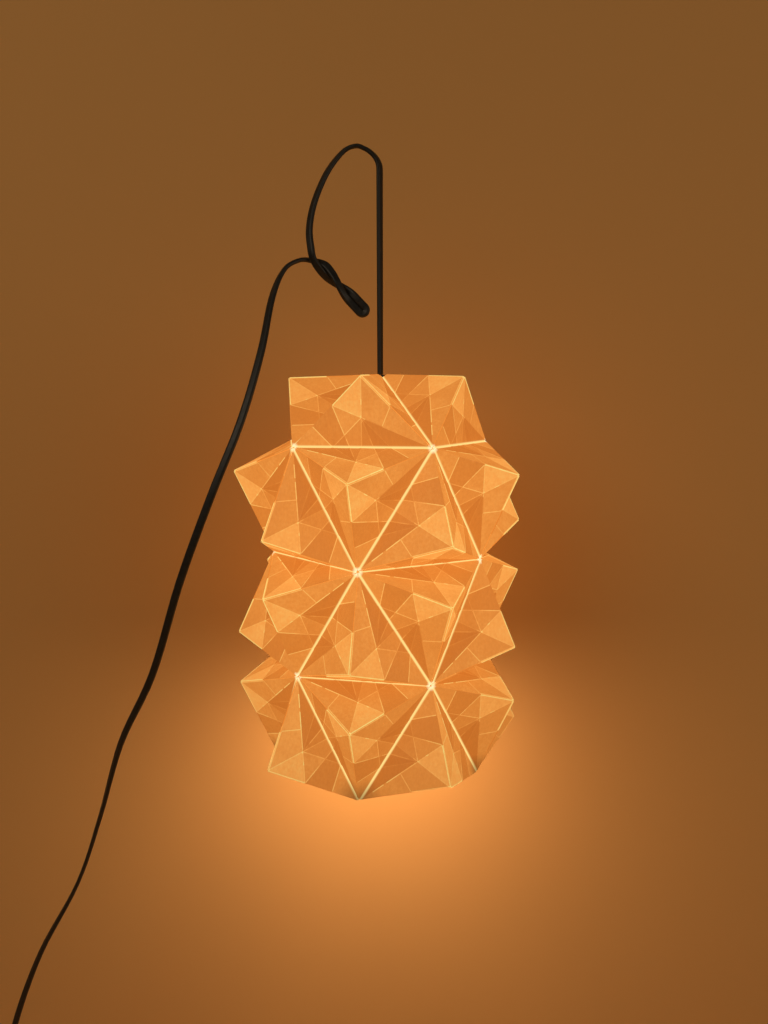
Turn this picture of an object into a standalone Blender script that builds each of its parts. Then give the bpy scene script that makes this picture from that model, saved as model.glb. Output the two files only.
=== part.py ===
"""Hanging folded-paper lampshade on a plug-in cord.

The shade is a pentagonal lattice of nodes: one node on top and four rings of five. Each edge of the
lattice holds one folded paper unit, and each triangle between three edges is covered by a three-sided
paper pyramid. A unit has two panels, which meet in the valley along its edge, and two tabs, each of which
folds over a ridge and lies under the next unit's panel.

Metres, +Z up. The origin is the point where the cord rests on its hook. The lamp hangs on the vertical
axis at x = LAMP_X, y = 0.
"""

import math

import bmesh
import bpy
from mathutils import Vector

# Shade
PAPER_SQUARE = 0.210  # each unit is folded from one square of this side
EDGE = PAPER_SQUARE / 2  # lattice edge, which is the unit's base
LEG = EDGE / math.sqrt(2)  # ridge, from a pyramid's apex to a node
APEX_HEIGHT = EDGE / math.sqrt(6)  # of a pyramid, over its triangle
SIDES = 5
RINGS = 4
RING_RADIUS = EDGE / (2 * math.sin(math.pi / SIDES))
RING_DROP = EDGE * math.sqrt(1 - 1 / (4 * math.cos(math.pi / (2 * SIDES)) ** 2))
CROWN_HEIGHT = math.sqrt(EDGE**2 - RING_RADIUS**2)  # top node over the first ring
TURN = math.radians(-46.7)  # azimuth of the first node, from -Y towards +X
SHEET = 0.0006  # a panel, which is several layers of paper
GAP = 0.0003  # between touching pieces
STEP_IN = SHEET + GAP  # how far a tab lies under the panel that covers it
NODE_CUT = 0.004  # a unit stops this far short of a node
TOP_CUT = 0.005  # at the top node, where the cord passes
TIP_CUT = 0.005  # at a panel's and a tab's narrow corners

# Places
LAMP_X = 0.0136
TOP_NODE_Z = -0.1735
FIRST_RING_Z = TOP_NODE_Z - CROWN_HEIGHT

# Lampholder and bulb, heights counted down from the top node
CONE_SLOPE = CROWN_HEIGHT / RING_RADIUS  # the shade's valleys rest on the cap's cone
CONE_TOP = 0.0013
HOLDER_RADIUS = 0.020
HOLDER_WALL = 0.002
CAP_HEIGHT = 0.034
SKIRT_END = 0.0680
SOCKET_RADIUS = 0.0138
SOCKET_DEPTH = 0.026
GRIP_RADIUS = 0.0038
GRIP_RISE = -0.0006  # the cord grip's head ends this far from the top node, upwards
SHANK_RADIUS = 0.0034
BASE_RADIUS = 0.0132
BASE_END = 0.0700
BULB_RADIUS = 0.030
BULB_CENTRE = 0.122
GLASS = 0.001
GLASS_NECK = 0.0128

# Cord
CORD_DIAMETER = 0.0046
SWING_Z = -0.016  # the drop swings about this height, just under the hook
SWING_GAP = 0.0008  # between the two tubes there, so that their ends pass each other
CORD_SPACING = 0.020  # about this far between the tube's points, except where the route's own are closer
# from the swing point up over the hook and down a loop
HOOK_LOOP = [
    (0.0136, 0.000, SWING_Z + SWING_GAP / 2),
    (0.0131, 0.000, -0.0122),
    (0.0118, 0.000, -0.0090),
    (0.0097, 0.000, -0.0060),
    (0.0064, 0.000, -0.0030),
    (0.0020, 0.000, -0.0004),
    (-0.0050, 0.000, 0.0015),
    (-0.0150, 0.000, -0.0028),
    (-0.0276, -0.002, -0.0188),
    (-0.0375, -0.006, -0.0420),
    (-0.0412, -0.010, -0.0620),
    (-0.0400, -0.0128, -0.0775),
]
# a bight of two strands, twisted about each other down to where they turn back
BIGHT_END = Vector((-0.0003, -0.0092, -0.1238))
BIGHT_SLOPE = math.radians(46.2)
BIGHT_LENGTH = 0.054
BIGHT_STRAIGHT = 0.012
HALF_TWIST = 0.030
STRAND_OFFSET = 0.0029
STRAND_DEPTH = 0.0034
# off to the lower left, as far as the coil
TAIL = [
    (-0.0410, -0.0054, -0.0852),
    (-0.0505, -0.0085, -0.0859),
    (-0.0612, -0.0140, -0.0940),
    (-0.0695, -0.0240, -0.1160),
    (-0.0765, -0.0420, -0.1590),
    (-0.0901, -0.0580, -0.2098),
    (-0.1125, -0.0660, -0.2650),
    (-0.1400, -0.0610, -0.3320),
    (-0.1700, -0.0440, -0.4120),
    (-0.2060, -0.0240, -0.4800),
    (-0.2340, -0.0070, -0.5560),
    (-0.2611, 0.0000, -0.6253),
    (-0.3000, 0.0000, -0.6960),
    (-0.3275, -0.0012, -0.7660),
    (-0.3345, -0.0028, -0.8050),
    (-0.3320, -0.0032, -0.8296),
]
COIL_X = -0.372
COIL_Z = -0.8584
COIL_RADIUS = 0.034  # middle of the turns
COIL_HALF_DEPTH = 0.0084  # radially
COIL_HALF_WIDTH = 0.0066  # along the coil's axis, which is Y

# Plug, hanging from the coil's right side
PLUG_X = -0.3325
PLUG_Y = 0.0032
PLUG_TOP_Z = -0.8886
RELIEF_LENGTH = 0.024
PLUG_LENGTH = 0.034
PLUG_WIDTH = 0.026
PLUG_DEPTH = 0.0137
PIN_PLATE = 0.0020
PIN_LENGTH = 0.019
PIN_RADIUS = 0.0020
PIN_SPACING = 0.019

ROUND_STEPS = 32


def clear_scene():
    for obj in list(bpy.data.objects):
        bpy.data.objects.remove(obj, do_unlink=True)


def collection(name):
    made = bpy.data.collections.new(name)
    bpy.context.scene.collection.children.link(made)
    return made


def material(name, colour, roughness, metallic=0.0):
    made = bpy.data.materials.new(name)
    made.use_nodes = True
    shader = made.node_tree.nodes["Principled BSDF"]
    shader.inputs["Base Color"].default_value = (*colour, 1)
    shader.inputs["Roughness"].default_value = roughness
    shader.inputs["Metallic"].default_value = metallic
    return made


def object_from(name, data, stuff, place=(0, 0, 0)):
    made = bpy.data.objects.new(name, data)
    made.location = place
    PARTS.objects.link(made)
    data.materials.append(stuff)
    return made


def turned(name, profile, stuff, place):
    """A solid of revolution about Z. The profile's (radius, height) points run down the outer side."""
    mesh = bpy.data.meshes.new(name)
    edges = [(i, i + 1) for i in range(len(profile) - 1)]
    mesh.from_pydata([(r, 0, z) for r, z in profile], edges, [])
    made = object_from(name, mesh, stuff, place)
    screw = made.modifiers.new("turn", "SCREW")
    screw.axis = "Z"
    screw.steps = screw.render_steps = ROUND_STEPS
    screw.use_merge_vertices = True
    screw.merge_threshold = 0.0001
    return made


def ring_profile(points):
    """A profile that closes on itself, for a turned solid with a bore."""
    return points + [points[0]]


def smooth_route(points, spacing):
    """Points along the Catmull-Rom curve through the route's own points."""
    route = [Vector(p) for p in points]
    ends = [2 * route[0] - route[1]] + route + [2 * route[-1] - route[-2]]
    found = []
    for a, b, c, d in zip(ends, ends[1:], ends[2:], ends[3:]):
        samples = max(1, round((c - b).length / spacing))
        for step in range(samples):
            t = step / samples
            bend = (2 * a - 5 * b + 4 * c - d) * t**2 + (3 * b - a - 3 * c + d) * t**3
            found.append((2 * b + (c - a) * t + bend) / 2)
    return found + [route[-1]]


def tube(name, points, radius, stuff, sides_level=2):
    curve = bpy.data.curves.new(name, "CURVE")
    curve.dimensions = "3D"
    curve.bevel_depth = radius
    curve.bevel_resolution = sides_level
    curve.use_fill_caps = True
    spline = curve.splines.new("POLY")
    spline.points.add(len(points) - 1)
    for target, point in zip(spline.points, points):
        target.co = (*point, 1)
    return object_from(name, curve, stuff)


# ---------------------------------------------------------------- shade


def node_place(ring, index):
    """Ring 0 is the top node. Rings 1 to RINGS go down, and every second one is turned by half a side."""
    if ring == 0:
        return Vector((LAMP_X, 0, TOP_NODE_Z))
    azimuth = TURN + 2 * math.pi / SIDES * (index + (ring + 1) % 2 / 2)
    height = FIRST_RING_Z - RING_DROP * (ring - 1)
    return Vector((LAMP_X + RING_RADIUS * math.sin(azimuth), -RING_RADIUS * math.cos(azimuth), height))


def node_key(ring, index):
    return (ring, index % SIDES if ring else 0)


def cells():
    """The lattice's triangles, each with its nodes clockwise as seen from outside."""
    for k in range(SIDES):
        yield [node_key(0, 0), node_key(1, k + 1), node_key(1, k)]
    for ring in range(1, RINGS):
        ahead = 0 if ring % 2 else 1  # the lower node to the right of this ring's node k has index k + ahead
        for k in range(SIDES):
            right = node_key(ring + 1, k + ahead)
            yield [node_key(ring, k), node_key(ring, k + 1), right]
            yield [node_key(ring, k), right, node_key(ring + 1, k + ahead - 1)]


def apex_of(cell):
    a, b, c = (node_place(*key) for key in cell)
    outward = (c - a).cross(b - a).normalized()
    return (a + b + c) / 3 + APEX_HEIGHT * outward


def cut_at(key):
    return TOP_CUT if key[0] == 0 else NODE_CUT


def half_unit(cell, side):
    """Corners of one panel and its tab: valley edge from node `side` of the cell to the next node."""
    apex = apex_of(cell)
    along = [(node_place(*key) - apex).normalized() for key in cell]
    first, second, third = (along[(side + i) % 3] for i in range(3))
    near, far = cell[side], cell[(side + 1) % 3]

    def at(a, b, c):
        return apex + a * first + b * second + c * third

    near_cut = cut_at(near) / math.sqrt(2)
    far_cut = cut_at(far) / math.sqrt(2)
    near_tip = TIP_CUT + cut_at(near) - NODE_CUT
    far_tip = TIP_CUT + cut_at(far) - NODE_CUT
    fold_start = at(2 * STEP_IN, STEP_IN, 0)
    fold_end = at(LEG - near_tip, STEP_IN, 0)
    panel = [
        at(0, STEP_IN, 0),
        fold_start,
        fold_end,
        at(LEG - near_cut, near_cut, 0),
        at(far_cut, LEG - far_cut, 0),
        at(0, LEG - far_tip, 0),
    ]
    tab = [fold_start, fold_end, at(2 * STEP_IN, STEP_IN, LEG - near_tip - 2 * STEP_IN)]
    return panel, tab, (-third, -second)


def paper_unit(name, halves, stuff):
    """One folded unit: panel and tab on each side of its valley, as an open sheet given its thickness."""
    sheet = bmesh.new()
    for cell, side in halves:
        panel, tab, outwards = half_unit(cell, side)
        for corners, outward in zip((panel, tab), outwards):
            face = sheet.faces.new([sheet.verts.new(corner) for corner in corners])
            face.normal_update()
            if face.normal.dot(outward) < 0:
                face.normal_flip()
    bmesh.ops.remove_doubles(sheet, verts=sheet.verts, dist=0.00002)
    mesh = bpy.data.meshes.new(name)
    sheet.to_mesh(mesh)
    sheet.free()
    made = object_from(name, mesh, stuff)
    shell = made.modifiers.new("thickness", "SOLIDIFY")
    shell.solidify_mode = "NON_MANIFOLD"
    shell.nonmanifold_thickness_mode = "CONSTRAINTS"
    shell.thickness = SHEET
    shell.offset = -1
    return made


def shade(stuff):
    """One unit on each lattice edge that two cells share; the last ring's edges stay open."""
    sides_by_edge = {}
    for cell in cells():
        for side in range(3):
            edge = frozenset((cell[side], cell[(side + 1) % 3]))
            sides_by_edge.setdefault(edge, []).append((cell, side))
    counts = {}
    for edge, halves in sides_by_edge.items():
        if len(halves) < 2:
            continue
        upper, lower = sorted(key[0] for key in edge)
        band = "crown" if upper == 0 else f"ring_{upper}" if upper == lower else f"zigzag_{upper}"
        counts[band] = counts.get(band, 0) + 1
        paper_unit(f"unit_{band}_{counts[band]:02d}", halves, stuff)


# ---------------------------------------------------------------- lampholder, bulb, cord, plug


def lampholder(plastic):
    place = (LAMP_X, 0, TOP_NODE_Z)
    hole = SHANK_RADIUS + GAP
    cone_inner = CONE_TOP + 0.003

    def cone(radius, drop=CONE_TOP):
        return -(drop + radius * CONE_SLOPE)

    inner = HOLDER_RADIUS - HOLDER_WALL
    cap = [
        (hole, cone(hole)),
        (HOLDER_RADIUS, cone(HOLDER_RADIUS)),
        (HOLDER_RADIUS, -CAP_HEIGHT),
        (inner, -CAP_HEIGHT),
        (inner, cone(inner, cone_inner)),
        (hole, cone(hole, cone_inner)),
    ]
    turned("lampholder_cap", ring_profile(cap), plastic, place)
    head_foot = cone(GRIP_RADIUS) + GAP + (GRIP_RADIUS - hole) * CONE_SLOPE
    grip = [
        (0, GRIP_RISE),
        (GRIP_RADIUS - 0.0005, GRIP_RISE),
        (GRIP_RADIUS, GRIP_RISE - 0.0005),
        (GRIP_RADIUS, head_foot),
        (SHANK_RADIUS, head_foot),
        (SHANK_RADIUS, -0.014),
        (0, -0.014),
    ]
    turned("cord_grip", grip, plastic, place)
    neck = inner - GAP
    skirt = [
        (0, -CAP_HEIGHT + 0.005),
        (neck, -CAP_HEIGHT + 0.005),
        (neck, -CAP_HEIGHT - GAP),
        (HOLDER_RADIUS, -CAP_HEIGHT - GAP),
        (HOLDER_RADIUS, -SKIRT_END + 0.002),
        (HOLDER_RADIUS - 0.002, -SKIRT_END),
        (SOCKET_RADIUS, -SKIRT_END),
        (SOCKET_RADIUS, -SKIRT_END + SOCKET_DEPTH),
        (0, -SKIRT_END + SOCKET_DEPTH),
    ]
    turned("lampholder_skirt", skirt, plastic, place)


def bulb(metal, glass):
    place = (LAMP_X, 0, TOP_NODE_Z)
    top = -SKIRT_END + SOCKET_DEPTH - GAP
    base = [
        (0, top),
        (0.0045, top - 0.0005),
        (0.0060, top - 0.0030),
        (BASE_RADIUS - 0.0010, top - 0.0050),
        (BASE_RADIUS, top - 0.0065),
        (BASE_RADIUS, -BASE_END),
        (0, -BASE_END),
    ]
    turned("bulb_base", base, metal, place)
    arc_start = math.radians(52)  # where the neck meets the globe, from the globe's centre upwards
    steps = 9
    neck_top = -BASE_END - GAP

    def side(radius, neck_radius):
        angles = [arc_start - i * (arc_start + math.pi / 2) / steps for i in range(steps + 1)]
        globe = [(radius * math.cos(a), -BULB_CENTRE + radius * math.sin(a)) for a in angles]
        globe[-1] = (0, -BULB_CENTRE - radius)
        waist = (neck_radius + 0.0012, neck_top - 0.010)
        return [(neck_radius, neck_top), waist, (neck_radius + 0.0032, neck_top - 0.0185)] + globe

    outer = side(BULB_RADIUS, GLASS_NECK)
    inner = side(BULB_RADIUS - GLASS, GLASS_NECK - GLASS)
    turned("bulb_glass", inner[::-1] + outer, glass, place)


def bight():
    """Down one strand, round the turn and up the other."""
    along = Vector((math.cos(BIGHT_SLOPE), 0, -math.sin(BIGHT_SLOPE)))
    across = Vector((math.sin(BIGHT_SLOPE), 0, math.cos(BIGHT_SLOPE)))
    steps = 10

    def strand(step, side):
        from_end = BIGHT_LENGTH * (step / steps) ** 1.5
        turn = math.pi * max(0, from_end - BIGHT_STRAIGHT) / HALF_TWIST
        offset = across * STRAND_OFFSET * math.cos(turn) + Vector((0, STRAND_DEPTH, 0)) * math.sin(turn)
        return BIGHT_END - along * from_end + offset * side

    turned_back = [across * math.cos(a) + along * math.sin(a) for a in (math.pi / 4, math.pi / 2, math.pi * 3 / 4)]
    down = [strand(step, 1) for step in range(steps, -1, -1)]
    up = [strand(step, -1) for step in range(steps)]
    return down + [BIGHT_END + STRAND_OFFSET * offset for offset in turned_back] + up


def cord(rubber):
    drop = [
        (LAMP_X, 0, TOP_NODE_Z + GRIP_RISE + GAP),
        (LAMP_X, 0, (TOP_NODE_Z + SWING_Z) / 2),
        (LAMP_X, 0, SWING_Z - SWING_GAP / 2),
    ]
    tube("cord_drop", drop, CORD_DIAMETER / 2, rubber)
    tube("cord", smooth_route(HOOK_LOOP + bight() + TAIL, CORD_SPACING), CORD_DIAMETER / 2, rubber)
    corner = 0.003
    half_depth, half_width = COIL_HALF_DEPTH, COIL_HALF_WIDTH
    section = [
        (COIL_RADIUS - half_depth + corner, half_width),
        (COIL_RADIUS + half_depth - corner, half_width),
        (COIL_RADIUS + half_depth, half_width - corner),
        (COIL_RADIUS + half_depth, -half_width + corner),
        (COIL_RADIUS + half_depth - corner, -half_width),
        (COIL_RADIUS - half_depth + corner, -half_width),
        (COIL_RADIUS - half_depth, -half_width + corner),
        (COIL_RADIUS - half_depth, half_width - corner),
    ]
    coil = turned("cord_coil", ring_profile(section), rubber, (COIL_X, 0, COIL_Z))
    coil.rotation_euler = (math.pi / 2, 0, 0)


def joined(base, other):
    """The union of two closed meshes as one object; the second one is only a cutter."""
    CUTTERS.objects.link(other)
    PARTS.objects.unlink(other)
    other.hide_render = True
    other.display_type = "WIRE"
    union = base.modifiers.new("join " + other.name, "BOOLEAN")
    union.operation = "UNION"
    union.object = other


def block(name, size, centre, stuff, rounding=0.0):
    mesh = bpy.data.meshes.new(name)
    cage = bmesh.new()
    bmesh.ops.create_cube(cage, size=1)
    for vert in cage.verts:
        vert.co = Vector(a * b for a, b in zip(vert.co, size))
    cage.to_mesh(mesh)
    cage.free()
    made = object_from(name, mesh, stuff, centre)
    if rounding:
        bevel = made.modifiers.new("rounded edges", "BEVEL")
        bevel.width = rounding
        bevel.segments = 3
    return made


def plug(plastic, metal):
    body_top = PLUG_TOP_Z - RELIEF_LENGTH
    body_end = body_top - PLUG_LENGTH
    centre = (PLUG_X, PLUG_Y, (body_top + body_end) / 2)
    body = block("plug_body", (PLUG_WIDTH, PLUG_DEPTH, PLUG_LENGTH), centre, plastic, 0.004)
    relief = turned(
        "plug_relief_shape",
        [
            (0, 0),
            (0.0036, 0),
            (0.0044, -RELIEF_LENGTH * 0.5),
            (0.0060, -RELIEF_LENGTH - 0.003),
            (0, -RELIEF_LENGTH - 0.003),
        ],
        plastic,
        (PLUG_X, PLUG_Y, PLUG_TOP_Z),
    )
    joined(body, relief)
    plate_top = body_end - GAP
    plate = block(
        "plug_pins",
        (PLUG_WIDTH - 0.006, PLUG_DEPTH - 0.0035, PIN_PLATE),
        (PLUG_X, PLUG_Y, plate_top - PIN_PLATE / 2),
        metal,
    )
    for sign in (-1, 1):
        pin = turned(
            f"pin_shape_{sign}",
            [
                (0, 0.0005),
                (PIN_RADIUS, 0.0005),
                (PIN_RADIUS, -PIN_LENGTH + 0.001),
                (PIN_RADIUS - 0.0008, -PIN_LENGTH),
                (0, -PIN_LENGTH),
            ],
            metal,
            (PLUG_X + sign * PIN_SPACING / 2, PLUG_Y, plate_top - PIN_PLATE),
        )
        joined(plate, pin)


clear_scene()
PARTS = collection("paper_lantern")
CUTTERS = collection("cutters")
PAPER = material("paper", (0.93, 0.62, 0.30), 0.65)
BLACK = material("black_plastic", (0.02, 0.02, 0.02), 0.45)
RUBBER = material("cord_black", (0.015, 0.015, 0.015), 0.5)
OPAL = material("opal_glass", (1.0, 0.86, 0.66), 0.25)
METAL = material("plated_metal", (0.72, 0.70, 0.66), 0.3, 1.0)
shade(PAPER)
lampholder(BLACK)
bulb(METAL, OPAL)
cord(RUBBER)
plug(BLACK, METAL)
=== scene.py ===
"""Looks of the hanging folded-paper lampshade: its paper units, lampholder, lit bulb, flat cord and plug.

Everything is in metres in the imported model's frame, +Z up. The origin is where the cord rests on its hook.
"""

import functools
import math
import random

import bmesh
import bpy
from mathutils import Matrix, Vector, noise


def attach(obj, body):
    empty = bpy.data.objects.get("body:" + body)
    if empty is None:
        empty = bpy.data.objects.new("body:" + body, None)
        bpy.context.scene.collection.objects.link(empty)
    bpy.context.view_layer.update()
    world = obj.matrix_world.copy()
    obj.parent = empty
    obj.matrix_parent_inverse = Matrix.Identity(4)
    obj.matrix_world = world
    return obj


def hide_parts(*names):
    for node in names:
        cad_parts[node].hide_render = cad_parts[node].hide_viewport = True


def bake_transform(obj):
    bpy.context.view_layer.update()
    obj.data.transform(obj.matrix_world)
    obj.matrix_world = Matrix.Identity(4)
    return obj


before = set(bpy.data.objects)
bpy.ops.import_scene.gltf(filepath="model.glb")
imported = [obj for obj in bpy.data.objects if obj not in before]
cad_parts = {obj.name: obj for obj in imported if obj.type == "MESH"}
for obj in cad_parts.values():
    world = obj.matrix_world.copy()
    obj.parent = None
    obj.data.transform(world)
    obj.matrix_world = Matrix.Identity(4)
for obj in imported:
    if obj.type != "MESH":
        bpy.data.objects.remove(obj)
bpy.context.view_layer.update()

# Shade, as in the CAD
PAPER_SQUARE = 0.210
EDGE = PAPER_SQUARE / 2
LEG = EDGE / math.sqrt(2)
APEX_HEIGHT = EDGE / math.sqrt(6)
SIDES = 5
RINGS = 4
RING_RADIUS = EDGE / (2 * math.sin(math.pi / SIDES))
RING_DROP = EDGE * math.sqrt(1 - 1 / (4 * math.cos(math.pi / (2 * SIDES)) ** 2))
CROWN_HEIGHT = math.sqrt(EDGE**2 - RING_RADIUS**2)
TURN = math.radians(-46.7)
STEP_IN = 0.0009
NODE_CUT = 0.0007  # nearer to the node than the CAD's, because paper gives way where corners crowd
TOP_CUT = 0.005
TIP_CUT = 0.0022
LAMP_X = 0.0136
TOP_NODE_Z = -0.1735
FIRST_RING_Z = TOP_NODE_Z - CROWN_HEIGHT

# Paper, as it is folded, and the light and shade painted into its glow
SHEET = 0.0004  # thickness that a unit's edges show
CREASE = 0.00035  # half the width over which one layer gives way to the next
RELIEF = 0.00005  # each layer under the surface lifts it by this
CAP = math.tan(math.pi / 8)  # how far down its ridges a pyramid's cap goes
CAP_OUTLINE = [Vector((CAP, 0)), Vector((0.5, CAP / 2)), Vector((0, CAP))]  # in legs, on one panel
RIDGE_LINE = 0.0007  # a painted highlight runs this far to each side of a cap's ridges
RIDGE_LIGHT = 3.2  # the painted highlight is as light as if this many layers were missing
LIT_EDGE = 2.0  # the same painted highlight for an inner fold's edge
CAP_LIGHT = 2.6  # and for the cap's outline
LOOSE_PANEL_PAINTED_SHADE = 2.5  # painted shade: a panel with no tab under it hangs out of the light and is darkened as if it had this many more layers
VALLEY_LIGHT = (1.12, 0.81, 0.28)  # along a valley, where no tab reaches
VALLEY_LINE = 0.0005  # the lightest part of a valley, to each side
VALLEY_BAND = 0.0017  # and where the full layers start
NODE_LIGHT = (1.2, 0.98, 0.55)  # round a node, where the light comes through the open corner
NODE_SPOT = 0.0017  # the lightest part of a node, from its middle
NODE_BAND = 0.0044
RIM_SHADE = 0.6  # at the open lower rim the corners get this much less light
RIM_BAND = 0.020  # as far as this from the node
MOST_LAYERS = 14
GLOW = 0.87
LIGHT_THROUGH_FIVE = (0.96, 0.37, 0.072)  # the light's colour behind five layers
KEPT_BY_A_LAYER = (0.905, 0.835, 0.75)  # what one more layer lets through of it
MUCH_PAPER = 8  # each layer over this many counts for less
MUCH_PAPER_COUNTS = 0.35
WAVE = 0.0004  # how far a panel strays from flat
WAVE_GRID = 0.0125  # spacing of the points that let it
WAVES = 28  # to a metre
STIFF_EDGE = 0.004  # how far in from a panel's edges it strays as much as that

# Cord
CORD_WIDTH = 0.0062
CORD_THICKNESS = 0.0036
CORD_START = Vector((LAMP_X, 0, TOP_NODE_Z - 0.0003))
SWING_Z = -0.016
COIL_X = -0.372
COIL_Z = -0.8584
COIL_RADIUS = 0.034
COIL_TURNS = 8
COIL_PITCH = 0.0039  # from one turn to the next, radially
COIL_SIDE = 0.0032  # the two columns of turns lie this far to each side
PLUG_X = -0.3325
PLUG_Y = 0.0032
PLUG_TOP_Z = -0.8886

# The cord's route from the swing point: x, y, z, and the angle between its wide side and the view, in degrees
HOOK_LOOP = [
    (0.0136, 0.000, -0.0156, 50),
    (0.0131, 0.000, -0.0122, 53),
    (0.0118, 0.000, -0.0090, 58),
    (0.0097, 0.000, -0.0060, 64),
    (0.0064, 0.000, -0.0030, 69),
    (0.0020, 0.000, -0.0004, 74),
    (-0.0050, 0.000, 0.0015, 76),
    (-0.0150, 0.000, -0.0028, 66),
    (-0.0276, -0.002, -0.0188, 52),
    (-0.0375, -0.006, -0.0420, 45),
    (-0.0412, -0.010, -0.0620, 36),
    (-0.0400, -0.0128, -0.0775, 28),
]
BIGHT_END = Vector((-0.0003, -0.0092, -0.1238))
BIGHT_SLOPE = math.radians(46.2)
BIGHT_LENGTH = 0.054
BIGHT_STRAIGHT = 0.012
HALF_TWIST = 0.030
STRAND_OFFSET = 0.0029
STRAND_DEPTH = 0.0034
TAIL = [
    (-0.0410, -0.0054, -0.0852, 62),
    (-0.0505, -0.0085, -0.0859, 76),
    (-0.0612, -0.0140, -0.0940, 70),
    (-0.0695, -0.0240, -0.1160, 40),
    (-0.0765, -0.0420, -0.1590, 24),
    (-0.0901, -0.0580, -0.2098, 16),
    (-0.1125, -0.0660, -0.2650, 6),
    (-0.1400, -0.0610, -0.3320, 4),
    (-0.1700, -0.0440, -0.4120, 18),
    (-0.2060, -0.0240, -0.4800, 40),
    (-0.2340, -0.0070, -0.5560, 66),
    (-0.2611, 0.0000, -0.6253, 82),
    (-0.3000, 0.0000, -0.6960, 56),
    (-0.3275, -0.0012, -0.7660, 30),
    (-0.3345, -0.0028, -0.8050, 66),
    (-0.3320, -0.0032, -0.8296, 88),
]

# Lampholder and bulb, heights counted down from the top node
CONE_SLOPE = CROWN_HEIGHT / RING_RADIUS
CONE_TOP = 0.0013
HOLDER_RADIUS = 0.020
CAP_HEIGHT = 0.034
SKIRT_END = 0.068
SOCKET_RADIUS = 0.0138
SOCKET_DEPTH = 0.026
BULB_RADIUS = 0.030
BULB_CENTRE = 0.122
BULB_PLACE = (LAMP_X, 0, TOP_NODE_Z - BULB_CENTRE)


# ---------------------------------------------------------------- camera and stage


def camera():
    data = bpy.data.cameras.new("camera")
    data.sensor_width = 36
    data.lens = 26.29
    made = bpy.data.objects.new("camera", data)
    bpy.context.scene.collection.objects.link(made)
    tilt = Matrix.Rotation(math.radians(90 - 8.54), 4, "X") @ Matrix.Rotation(math.radians(-0.14), 4, "Z")
    made.matrix_world = Matrix.Translation((0.0164, -0.6188, -0.1941)) @ tilt
    bpy.context.scene.camera = made


def area_light(name, place, aim, size, power, colour):
    data = bpy.data.lights.new(name, "AREA")
    data.shape = "DISK"
    data.size = size
    data.energy = power
    data.color = colour
    made = bpy.data.objects.new(name, data)
    bpy.context.scene.collection.objects.link(made)
    made.location = place
    made.rotation_euler = (Vector(aim) - Vector(place)).to_track_quat("-Z", "Y").to_euler()


def studio():
    """A sweep that shows only from its front, soft lights, the lamp's light on the wall, and the room."""
    floor_z, wall_y, bend, half_width = -1.25, 0.17, 0.15, 2.5
    profile = [(-3.0, floor_z)]
    for step in range(9):
        angle = math.radians(90 * step / 8)
        profile.append((wall_y - bend + bend * math.sin(angle), floor_z + bend - bend * math.cos(angle)))
    profile.append((wall_y, 1.6))
    rings = [[Vector((side, y, z)) for y, z in profile] for side in (half_width, -half_width)]
    sweep = bpy.data.objects.new("studio_sweep", loft_mesh("studio_sweep", rings, closed=False, caps=False))
    bpy.context.scene.collection.objects.link(sweep)
    sweep.data.materials.append(stage_material())
    area_light("key", (-1.1, -1.5, 0.7), (0, 0, -0.4), 1.2, 6, (1.0, 0.80, 0.58))
    area_light("fill", (1.5, -1.2, -0.1), (0, 0, -0.4), 1.4, 4, (1.0, 0.78, 0.56))
    area_light("spill", (LAMP_X, 0.00, -0.53), (LAMP_X, 0.17, -0.80), 0.20, 0.72, (1.0, 0.62, 0.36))
    world = bpy.data.worlds.new("room")
    world.use_nodes = True
    world.node_tree.nodes["Background"].inputs["Color"].default_value = (1.0, 0.78, 0.56, 1)
    world.node_tree.nodes["Background"].inputs["Strength"].default_value = 0.07
    bpy.context.scene.world = world
    bpy.context.scene.view_settings.view_transform = "Standard"


# ---------------------------------------------------------------- materials


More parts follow.
